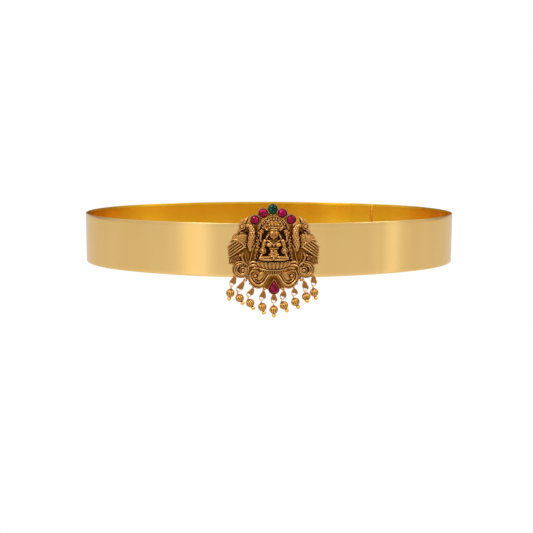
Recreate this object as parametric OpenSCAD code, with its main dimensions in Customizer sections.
// Waist belt: an oval hoop of thin gilt sheet with a cast centrepiece and nine bead drops.
// Origin at the middle of the hoop, half way up the sheet. +X to the viewer's right, -Y to the
// front, +Z up. On the centrepiece a place is given as u along the hoop's front from its middle,
// z up, and w out from the sheet's outer face.

/* [Hoop] */
// Outside width of the hoop
hoop_w = 177.8; // [173.8:0.4:185.8]
// Outside depth of the hoop, front to back
hoop_d = 133.4; // [130:0.4:137.2]
// Height of the sheet
band_h = 22.9; // [22:0.1:24]
// Thickness of the sheet
sheet = 0.6; // [0.5:0.05:0.7]
// Gap between the two laps at the back
lap_gap = 0.1; // [0.05:0.01:0.15]
// Where the outer lap ends, left of the middle
outer_end = 66; // [40:1:66]
// Where the inner lap ends, right of the middle
inner_end = 58; // [40:1:62]

/* [Clasp stud] */
// Radius of the stud's shank
stud_r = 1.2; // [1:0.1:1.5]
// Radius of its two flat heads
stud_head_r = 2.8; // [2.4:0.1:3.2]
// Thickness of each head
stud_head_t = 0.7; // [0.5:0.1:1]

/* [Centrepiece] */
// Thickness of the casting's back plate
plate_t = 1.1; // [0.9:0.1:1.3]
// Distance of the two rivet posts from the middle
post_u = 10.5; // [10:0.5:11]
// Radius of the rivet posts
post_r = 0.9; // [0.7:0.1:1]
// Girdle radius of the arch's red stones
ruby_r = 1.75; // [1.7:0.05:1.8]
// Girdle radius of the pear stone's round end
pear_r = 2; // [1.9:0.05:2.05]
// Width of a bezel's wall
bezel_wall = 0.28; // [0.24:0.01:0.3]

/* [Drops] */
// Outside radius of the beads
bead_r = 1.82; // [1.75:0.01:1.85]
// Radius of the hole through a bead
bead_bore = 0.32; // [0.3:0.01:0.4]
// Radius of the headpin's wire
pin_r = 0.18; // [0.16:0.01:0.2]
// Radius of the headpin's ball end
tip_r = 0.85; // [0.75:0.05:0.9]
// Radius of the headpin's loop, to the middle of its wire
loop_r = 0.72; // [0.7:0.01:0.74]
// Radius of the wire's wrap above the bead
wrap_r = 0.46; // [0.42:0.01:0.5]
// Height of that wrap
wrap_t = 0.28; // [0.24:0.01:0.32]

/* [Hidden] */

GOLD = [0.85, 0.68, 0.36];
ANTIQUE = [0.62, 0.42, 0.16];
BRIGHT = [0.93, 0.66, 0.16];
RUBY = [0.7, 0.02, 0.3];
EMERALD = [0.02, 0.4, 0.28];

// The oval is four arcs drawn on 3-4-5 triangles, so that neighbouring arcs are exactly tangent.
// The rounded sides' centres lie 3k either side of the middle, and the centres of the front and
// the back lie 4k behind and before it.
gap = 0.1;
k = (hoop_w - hoop_d) / 4;
end_r = hoop_w / 2 - 3 * k;
side_r = end_r + 5 * k;
side_c = 4 * k;

// The inner lap lies lap_step inside the outer one. The strip moves in to it round the left side,
// in two arcs that meet at the side's middle.
lap_step = sheet + lap_gap;
far = 50;

// Places its children at u along the front, z up and w out from the sheet.
module seat(u, z, w = 0) {
    translate([0, side_c, 0]) rotate([0, 0, u / side_r * 180 / PI])
        translate([0, -(side_r + w), z]) children();
}

// Draws its children on the right and on the left.
module both() {
    children();
    mirror([1, 0, 0]) children();
}

// One arc of the strip seen from above: the part of a ring about a centre that lies between two
// rays. Each ray is given as [x, y] steps from the centre.
module strip(centre, r, from, to) {
    intersection() {
        translate(centre) difference() {
            circle(r, $fn = 360);
            circle(r - sheet, $fn = 360);
        }
        polygon([centre, centre + far * from, centre + far * (from + to) / 2, centre + far * to]);
    }
}

// The ray from the back's centre of curvature to where the back lies x from the middle.
function back_ray(x) = [x, sqrt(side_r * side_r - x * x)] / 20;

// A hole through the sheet's front, for a rivet post.
module post_hole(u) {
    seat(u, 0, 1) rotate([-90, 0, 0]) cylinder(r = post_r + gap, h = sheet + 2, $fn = 32);
}

module band() {
    color(GOLD) difference() {
        linear_extrude(band_h, center = true) {
            strip([0, -side_c], side_r, back_ray(-outer_end), [3, 4]);
            strip([3 * k, 0], end_r, [3, 4], [3, -4]);
            strip([0, side_c], side_r, [3, -4], [-3, -4]);
            strip([-3 * k - 0.75 * lap_step, -lap_step], end_r - 1.25 * lap_step, [-3, -4], [-5, 0]);
            strip([0.75 * lap_step - 3 * k, -lap_step], end_r + 0.25 * lap_step, [-5, 0], [-3, 4]);
            strip([0, -side_c], side_r - lap_step, [-3, 4], back_ray(inner_end));
        }
        for (u = [-post_u, post_u]) post_hole(u);
        translate([0, hoop_d / 2 + 1, 0]) rotate([90, 0, 0])
            cylinder(r = stud_r + gap, h = 2 * lap_step + 2, $fn = 32);
    }
}

module clasp_stud() {
    span = sheet + lap_step + 2 * gap;
    color(GOLD) translate([0, hoop_d / 2 + gap, 0]) rotate([90, 0, 0]) {
        translate([0, 0, -stud_head_t]) cylinder(r = stud_head_r, h = stud_head_t, $fn = 48);
        cylinder(r = stud_r, h = span, $fn = 32);
        translate([0, 0, span]) cylinder(r = stud_head_r, h = stud_head_t, $fn = 48);
    }
}

// Forms of the casting's relief. Their tables hold balls, each as [u, z, w, r].
module ball(b, sides = 6) {
    seat(b[0], b[1], b[2]) sphere(b[3], $fn = sides);
}

module balls(rows, sides = 6) {
    for (b = rows) ball(b, sides);
}

// A tapered round bar through a row of balls.
module bar(rows, sides = 5) {
    for (i = [0:len(rows) - 2]) hull() balls([rows[i], rows[i + 1]], sides);
}

// One smooth form round a few balls.
module lump(rows, sides = 5) {
    hull() balls(rows, sides);
}

// Rounded masses: [u, z, w, [half-width, half-depth, half-height], turn, sides]. A turn is
// clockwise as seen from the front.
module masses(rows) {
    for (m = rows) seat(m[0], m[1], m[2]) rotate([0, m[4], 0]) scale(m[3]) sphere(1, $fn = m[5]);
}

// Mouldings that follow a circle on the plate's face, from one angle to another, anticlockwise
// from the right: [u, z, w, r, half-thickness, from, to, steps]. They are rooted in the plate.
moulding_root = 0.5;

module mouldings(rows) {
    for (m = rows) seat(m[0], m[1], m[2]) rotate([90, 0, 0]) rotate([0, 0, m[5]])
        rotate_extrude(angle = m[6] - m[5], $fn = m[7]) translate([m[3], 0])
            polygon([[-m[4], -moulding_root], [m[4], -moulding_root], [m[4] / 2, m[4]],
                     [-m[4] / 2, m[4]]]);
}

// A flat form that faces the front, from w outwards by t.
module flat(u, z, w, t, turn = 0) {
    seat(u, z, w) rotate([90, 0, 0]) rotate([0, 0, -turn]) linear_extrude(t) children();
}

// Stones of the arch: [u, z, turn, half-width, half-height]
ruby_h = ruby_r * 1.03;
arch_stones = [
    [-7.8, 13.15, -43, ruby_r, ruby_h],
    [-4.35, 16.05, -26, ruby_r, ruby_h],
    [-0.4, 17.7, -2, ruby_r * 0.98, ruby_r * 1.14],
    [3.5, 16, 22, ruby_r, ruby_h],
    [7.15, 13.4, 41, ruby_r, ruby_h]];
stone_floor = 1.7;
stone_h = 1.3;
girdle_h = stone_h * 0.45;
bezel_top = stone_floor + 0.8;
petal_point = 0.9;

// The outline of a round stone, grown by g, with the petal's point below it when petal is true.
module stone_outline(s, g, petal = false) {
    hull() {
        scale([s[3] + g, s[4] + g]) circle(1, $fn = 12);
        if (petal) translate([0, -s[4] - g - petal_point]) circle(bezel_wall, $fn = 6);
    }
}

// A cup for a stone: a solid petal with a flat-bottomed pocket.
module bezel(s) {
    difference() {
        flat(s[0], s[1], gap, bezel_top - gap, s[2]) stone_outline(s, gap + bezel_wall, true);
        flat(s[0], s[1], stone_floor - gap, bezel_top, s[2]) stone_outline(s, gap);
    }
}

// A cut stone with a table and twelve crown facets.
module cut_stone(s) {
    seat(s[0], s[1], stone_floor) rotate([0, s[2], 0]) scale([s[3], 1, s[4]])
        rotate([90, 0, 0]) {
            cylinder(r1 = 0.62, r2 = 1, h = girdle_h, $fn = 12);
            translate([0, 0, girdle_h]) cylinder(r1 = 1, r2 = 0.6, h = stone_h - girdle_h,
                                                 $fn = 12);
        }
}

// The pear stone, point up: its round end's middle, its point, and the point's rounding.
pear_u = 0.2;
pear_z = -15.95;
pear_point = -12;
pear_tip_r = 0.35;
pear_h = 1.6;
pear_table = 0.65;

module pear_outline(g) {
    hull() {
        translate([pear_u, pear_z]) circle(pear_r + g, $fn = 20);
        translate([pear_u, pear_point - pear_tip_r]) circle(pear_tip_r + g, $fn = 8);
    }
}

module pear_bezel() {
    difference() {
        flat(0, 0, gap, bezel_top - gap) pear_outline(gap + bezel_wall);
        flat(0, 0, stone_floor - gap, bezel_top) pear_outline(gap);
    }
}

module pear_ruby() {
    layer = 0.1;
    color(RUBY) hull() {
        flat(0, 0, stone_floor, layer) pear_outline(-0.5);
        flat(0, 0, stone_floor + girdle_h, layer) pear_outline(0);
        flat(pear_u * (1 - pear_table), pear_z * (1 - pear_table), stone_floor + pear_h - layer, layer)
            scale(pear_table) pear_outline(0);
    }
}

// The back plate, a little inside the relief's outline: discs as [u, z, r, sides].
halo_disc = [0, 9.6, 8.2, 24];
foot_disc = [0, -11.5, 5.4, 14];
head_disc = [12.2, 10, 1.5, 8];
wing_disc = [13.8, 2.8, 3.9, 16];
tail_discs = [[16, -0.7, 3, 12], [12, -4, 3, 8]];
scroll_discs = [[13.3, -8.1, 3.5, 16], [6.2, -11.4, 4.3, 18], [9.8, -10, 2.4, 8]];
field = [[-12, -8], [12, 6]];

module disc(d) {
    translate([d[0], d[1]]) circle(d[2], $fn = d[3]);
}

module plate_outline() {
    translate(field[0]) square(field[1] - field[0]);
    disc(halo_disc);
    disc(foot_disc);
    both() {
        hull() {
            disc(head_disc);
            disc(wing_disc);
        }
        hull() {
            disc(wing_disc);
            for (d = tail_discs) disc(d);
        }
        for (d = scroll_discs) disc(d);
    }
}

// Slits pierced through the plate on one side: [u, z, turn, half-width, half-height]
slits = [[11.1, 7.3, 12, 0.45, 1.3], [11.5, -0.9, -20, 0.4, 0.7], [7.6, 1.9, -30, 0.35, 1]];

// The two rivet posts at the plate's back, each with a head inside the sheet.
rivet_head_r = 1.6;
rivet_head_t = 0.5;
plate_arc = 30;

module plate() {
    difference() {
        intersection() {
            translate([0, side_c, -far]) rotate([0, 0, 270 - plate_arc / 2])
                rotate_extrude(angle = plate_arc, $fn = 84)
                    translate([side_r + gap, 0]) square([plate_t, 2 * far]);
            flat(0, 0, -hoop_w / 20, hoop_w / 10) plate_outline();
        }
        both() for (s = slits) flat(s[0], s[1], -1, plate_t + 3, s[2]) scale([s[3], s[4]])
            circle(1, $fn = 8);
    }
    both() seat(post_u, 0, -sheet - gap - rivet_head_t) rotate([90, 0, 0]) {
        cylinder(r = rivet_head_r, h = rivet_head_t, $fn = 12);
        cylinder(r = post_r, h = rivet_head_t + sheet + 2 * gap + plate_t / 2, $fn = 12);
    }
}

// The arch: a moulding round the halo, its fan of rays and the stones' cups.
arch_z = 8.6;
arch_r = 5.9;
arch_wire = 0.7;
rays = 7;
ray_from = 12;
ray_inner = 2.4;
ray_outer = 5.1;

module arch() {
    mouldings([[0, arch_z, 1.5, arch_r, arch_wire, 0, 180, 22]]);
    both() lump([[arch_r, arch_z, 1.6, 0.6], [arch_r + 0.6, arch_z - 1.6, 1.5, 0.6]]);
    for (i = [0:rays - 1]) {
        a = ray_from + i * (180 - 2 * ray_from) / (rays - 1);
        lump([[ray_inner * cos(a), arch_z + ray_inner * sin(a), 1.4, 0.4],
              [ray_outer * cos(a), arch_z + ray_outer * sin(a), 1.3, 0.5]], 4);
    }
    for (s = arch_stones) bezel(s);
}

// The seated figure, from the crown down to the crossed legs. Her face's middle is at face_z,
// face_w out.
face_z = 7.75;
face_w = 4.2;

crown_rim = [[-2.8, 9.9, 3.6, 0.55], [0, 10.2, 4.5, 0.6], [2.8, 9.9, 3.6, 0.55]];
crown_tiers = [[0, 11.1, 3.4, [3, 1.4, 1.5], 0, 8], [0, 12.6, 3.1, [2, 1, 1.15], 0, 8]];
crown_knobs = [[0, 14, 3, 0.5], [0, 11.3, 4.6, 0.6], [1.75, 11.4, 3.6, 0.7],
               [-1.75, 11.4, 3.6, 0.7]];

module crown() {
    bar(crown_rim);
    masses(crown_tiers);
    balls(crown_knobs);
}

module head() {
    masses([[0, face_z, face_w, [1.75, 1.65, 2.1], 0, 12]]);
    lump([[0, face_z + 0.5, face_w + 1.5, 0.18], [0, face_z - 0.35, face_w + 1.75, 0.26]], 6);
    both() {
        masses([[1.75, face_z - 0.2, face_w - 1.2, [0.5, 1.2, 1.3], 0, 6]]);
        ball([2.1, face_z - 1.7, face_w - 0.9, 0.6]);
    }
    bar([[0, face_z - 1.6, face_w - 0.5, 0.85], [0, face_z - 3, face_w - 0.8, 1.1]]);
}

trunk = [[0, 3.9, 3.1, [3.1, 1.4, 1.4], 0, 8], [0, 2.4, 3, [2.2, 1.5, 2], 0, 8],
         [0, 0.2, 3, [1.35, 1.4, 1.9], 0, 8], [0, -1.6, 3.4, [2.4, 1.5, 0.6], 0, 8]];
breast = [1.3, 2.8, 4.2, 1.15];
necklace = [[2.3, 5, 3.7, 0.3], [1.1, 4, 4.4, 0.3], [0, 3.3, 4.9, 0.34]];

module torso() {
    masses(trunk);
    both() {
        ball(breast, 8);
        bar(necklace);
    }
}

// One side's arms: the raised one behind, with its flower, and the front one with its open hand.
raised_arm = [[3.3, 4.4, 2.7, 0.95], [5.5, 4.3, 2.5, 0.75], [5.4, 7, 2.9, 0.6]];
front_arm = [[3.5, 4.3, 3.1, 1], [4.3, 1.9, 3.4, 0.85], [4.4, 0.6, 3.8, 0.7]];
hands = [[5.3, 7.7, 3, [0.75, 0.5, 0.9], 0, 6], [4.4, 0.5, 4, [1.2, 0.6, 1.35], 0, 6]];
flower = [[5.3, 8.6, 2.6, [0.85, 1, 0.8], 0, 6]];

module arms() {
    bar(raised_arm);
    bar(front_arm);
    masses(hands);
    masses(flower);
}

lap = [[0, -2.7, 3.6, [5.6, 1.8, 1.1], 0, 8]];
thigh = [[1.6, -2, 4, 0.95], [5.3, -2.7, 4.4, 1.1]];
shin = [[5.4, -3.1, 4.6, 0.85], [1, -3.5, 5.4, 0.7]];
sole = [[2.9, -3.7, 5.3, [1.2, 0.6, 0.5], 6, 6]];
girdle = [[-1.9, -1.7, 4.6, 0.3], [0, -2.1, 5, 0.32], [1.9, -1.7, 4.6, 0.3]];

module legs() {
    masses(lap);
    bar(girdle);
    both() {
        bar(thigh);
        bar(shin);
        masses(sole);
    }
}

// The lotus seat: a cushion with a row of petals that hang round it, and a rim below.
cushion = [[0, -4.5, 2.9, [7.2, 2.3, 0.7], 0, 8], [0, -6, 2.2, [6.4, 2.4, 1.7], 0, 8]];
lotus_wing = [[7.2, -4.4, 2.4, 0.6], [9, -4.9, 2, 0.85], [10, -6.2, 1.6, 0.45]];
lotus_rim = [[-6.4, -7.5, 1.6, 0.4], [0, -8.1, 2.1, 0.45], [6.4, -7.5, 1.6, 0.4]];
petals = 9;
petal_w = 4.7;

module lotus() {
    masses(cushion);
    for (i = [0:petals - 1]) {
        x = 2 * i / (petals - 1) - 1;
        w = petal_w - 1.6 * x * x;
        lump([[6.9 * x, -4.3 + 0.3 * x * x, w, 0.35], [6.3 * x, -5.6, w + 0.1, 0.62],
              [5.4 * x, -7.3 + 0.4 * x * x, w - 1.3, 0.4]], 4);
    }
    both() bar(lotus_wing);
    bar(lotus_rim);
}

// One peacock, looking back over its wing. The feathers run down and out from the wing's edge,
// each one feather_step above and beside the last.
peacock_neck = [[9.9, 2.6, 2.4, 1.7], [8.5, 6.6, 2.5, 1.35], [9.4, 10.9, 2.6, 1],
                [11.6, 11.3, 2.8, 1.05]];
peacock_head = [12.7, 10.5, 2.7, 1.5];
peacock_eye = [12.9, 10.5, 3.9, 0.45];
beak = [[13.6, 9.4, 2.6, 0.7], [14.5, 7.6, 2.2, 0.25]];
peacock_body = [[13.9, 5, 0.9, [3, 1.5, 2.6], 40, 8], [15.3, 1.6, 0.7, [3.4, 1.2, 3.6], 35, 8],
                [16.3, -3.8, 1.3, [2.9, 1.1, 1.5], 25, 6]];
peacock_legs = [[[12.7, -0.2, 1.9, 0.6], [12.4, -4.6, 1.8, 0.5]],
                [[9.6, 1.2, 1.8, 0.7], [9.1, -3, 1.7, 0.6], [10.2, -5.2, 1.6, 0.5]]];
feathers = 5;
feather_step = 0.75;
crest = 3;

module peacock() {
    bar(peacock_neck);
    ball(peacock_head, 8);
    ball(peacock_eye);
    lump(beak);
    masses(peacock_body);
    for (leg = peacock_legs) bar(leg);
    for (i = [0:crest - 1])
        lump([[11.7 - 0.2 * i, 11.6, 2.6, 0.3], [11.8 - 0.9 * i, 14.3 - 0.5 * i, 2.4, 0.32]], 4);
    for (i = [0:feathers - 1])
        lump([[12 + feather_step * i, 1.8 + feather_step * i, 2.3, 0.42],
              [18.1 + 0.1 * i, -3.2 + 1.4 * feather_step * i, 1.5, 0.42]], 4);
}

// One side's two scrolls, with their beaded eyes, and the small balls between the eyelets.
scroll_curves = [
    [13.4, -8.1, 1.4, 3.3, 0.6, 0, 360, 16],
    [13.5, -8, 1.3, 2.25, 0.4, -150, 120, 14],
    [12.6, -8.3, 1.4, 1.1, 0.35, 0, 360, 8],
    [6.2, -11.4, 1.4, 4.15, 0.6, 170, 385, 20],
    [6.2, -11.2, 1.6, 3, 0.5, 175, 375, 16],
    [7.6, -10.4, 1.4, 1.1, 0.35, 0, 360, 8]];
scroll_eyes = [[12.6, -8.3, 1.4, 0.75], [7.6, -10.4, 1.4, 0.7]];
scroll_root = [[2.1, -10.6, 1.4, 0.6], [3.1, -8.6, 1.3, 0.5], [5, -7.8, 1.2, 0.5]];
small_balls = [[3.6, -15.9, 1.1, 0.65], [11.5, -12.3, 1.1, 0.65]];

module scrolls() {
    mouldings(scroll_curves);
    balls(scroll_eyes);
    bar(scroll_root);
    balls(small_balls);
}

// The pear's cup, and the ribs that spread from it towards the lotus.
module foot() {
    pear_bezel();
    for (i = [-1:1]) lump([[0.8 * i, -11.2 + 0.4 * i * i, 1.3, 0.4], [2 * i, -8.4, 1.3, 0.5]]);
}

// Drops, left to right: [eyelet root u, root z, bead u, bead z, pin turn, pin lean, loop turn,
// contact turn]. A turn is from straight down towards the right, a lean towards the front. The
// contact is where the loop hangs on the eyelet's round eye.
drops = [
    [-16.2, -10.9, -18.04, -18, -10, 0, -2, -10],
    [-12.6, -13.1, -14.11, -20.04, 29, 0, 6, -18],
    [-8.6, -15.9, -9.68, -22.13, 30, 0, 6, -18],
    [-4.2, -17, -4.63, -23.75, 15, 0, 5, -15],
    [0, -18.3, 0.17, -24.92, 2, 0, 12, -5],
    [4.3, -16.9, 4.41, -23.07, 30, 0, 8, -14],
    [8.6, -15.9, 9.22, -21.65, 27, 0, 8, -14],
    [12.7, -12.9, 13.38, -19.07, 3, 50, 3, 0],
    [16.6, -10.7, 17.15, -17.76, 15, 0, 5, -5]];
eyelet_t = 0.4;
eyelet_w = 1.25;
eyelet_rim = 0.28;
eyelet_root_r = 0.75;
eye_r = 0.7;
lobe_r = 0.7;
lobe_u = 0.9;
bead_flat = bead_r - 0.12;
bead_to_loop = loop_r + pin_r + 0.12;

// A step of a length in a turn's direction, seen from the front.
function step(turn, length) = [sin(turn), -cos(turn)] * length;

// Where a drop's bead, its loop and its eyelet's eye lie, as [u, z].
function bead_top(d) = [d[2], d[3]] - step(d[4], bead_flat * cos(d[5]));
function loop_at(d) = bead_top(d) - step(d[6], bead_to_loop * cos(d[5]));
function eye_at(d) = loop_at(d) - step(d[7], eye_r + eyelet_rim);

// Places its children at a drop's loop, turned as the loop hangs.
module at_loop(d) {
    seat(loop_at(d)[0], loop_at(d)[1], eyelet_w + eyelet_t / 2)
        rotate([0, -d[6], 0]) rotate([-d[5], 0, 0]) children();
}

// Places its children at the top of a drop's bead, turned as the pin hangs.
module at_bead_top(d) {
    at_loop(d) translate([0, 0, -bead_to_loop]) rotate([d[5], 0, 0])
        rotate([0, d[6] - d[4], 0]) rotate([-d[5], 0, 0]) children();
}

// A leaf with a round eye at its lower left, in the plane of the plaque, hanging from its root.
module eyelet(d) {
    root = [d[0], d[1]];
    eye = eye_at(d) - root;
    flat(root[0], root[1], eyelet_w, eyelet_t) difference() {
        hull() {
            circle(eyelet_root_r, $fn = 6);
            translate(eye * 0.65 + [lobe_u, 0]) circle(lobe_r, $fn = 8);
            translate(eye * 0.5 - [lobe_u / 2, 0]) circle(lobe_r, $fn = 8);
            translate(eye) circle(eye_r + eyelet_rim, $fn = 12);
        }
        translate(eye) circle(eye_r, $fn = 12);
    }
    stem = root + eye * 0.3;
    lump([[root[0] * 0.97, root[1] + 0.9, 0.9, eyelet_root_r],
          [stem[0], stem[1], eyelet_w + eyelet_t / 2, 0.5]]);
}

// The relief is cut off flat behind, half way into the plate, so that it stays clear of the sheet.
module relief() {
    difference() {
        union() {
            arch();
            crown();
            head();
            torso();
            both() {
                arms();
                peacock();
                scrolls();
            }
            legs();
            lotus();
            foot();
            for (d = drops) eyelet(d);
        }
        translate([0, side_c, -far]) cylinder(r = side_r + gap + plate_t / 2, h = 2 * far, $fn = 84);
    }
}

module plaque() {
    color(ANTIQUE) {
        plate();
        relief();
    }
}

module bead(i) {
    color(ANTIQUE) at_bead_top(drops[i]) translate([0, 0, -bead_flat]) difference() {
        intersection() {
            sphere(bead_r, $fn = 48);
            cube([4, 4, 2 * bead_flat], center = true);
        }
        cylinder(r = bead_bore, h = 5, center = true, $fn = 24);
    }
}

module headpin(i) {
    tip_drop = 2 * bead_flat + tip_r - 0.02;
    color(BRIGHT) {
        at_loop(drops[i]) {
            rotate([0, 90, 0]) rotate_extrude($fn = 32) translate([loop_r, 0])
                circle(pin_r, $fn = 16);
            translate([0, 0, wrap_t / 2 - bead_to_loop])
                cylinder(r = pin_r, h = bead_to_loop - loop_r - wrap_t / 2, $fn = 16);
        }
        at_bead_top(drops[i]) {
            translate([0, 0, gap / 2]) cylinder(r = wrap_r, h = wrap_t, $fn = 24);
            translate([0, 0, -tip_drop]) cylinder(r = pin_r, h = tip_drop + wrap_t, $fn = 16);
            translate([0, 0, -tip_drop]) sphere(tip_r, $fn = 32);
        }
    }
}

module ruby(i) {
    color(RUBY) cut_stone(arch_stones[i]);
}

band();
clasp_stud();
plaque();
color(EMERALD) cut_stone(arch_stones[2]);  // emerald
ruby(0);  // ruby_1
ruby(1);  // ruby_2
ruby(3);  // ruby_3
ruby(4);  // ruby_4
pear_ruby();
for (i = [1:9]) bead(i - 1);
for (i = [1:9]) headpin(i - 1);
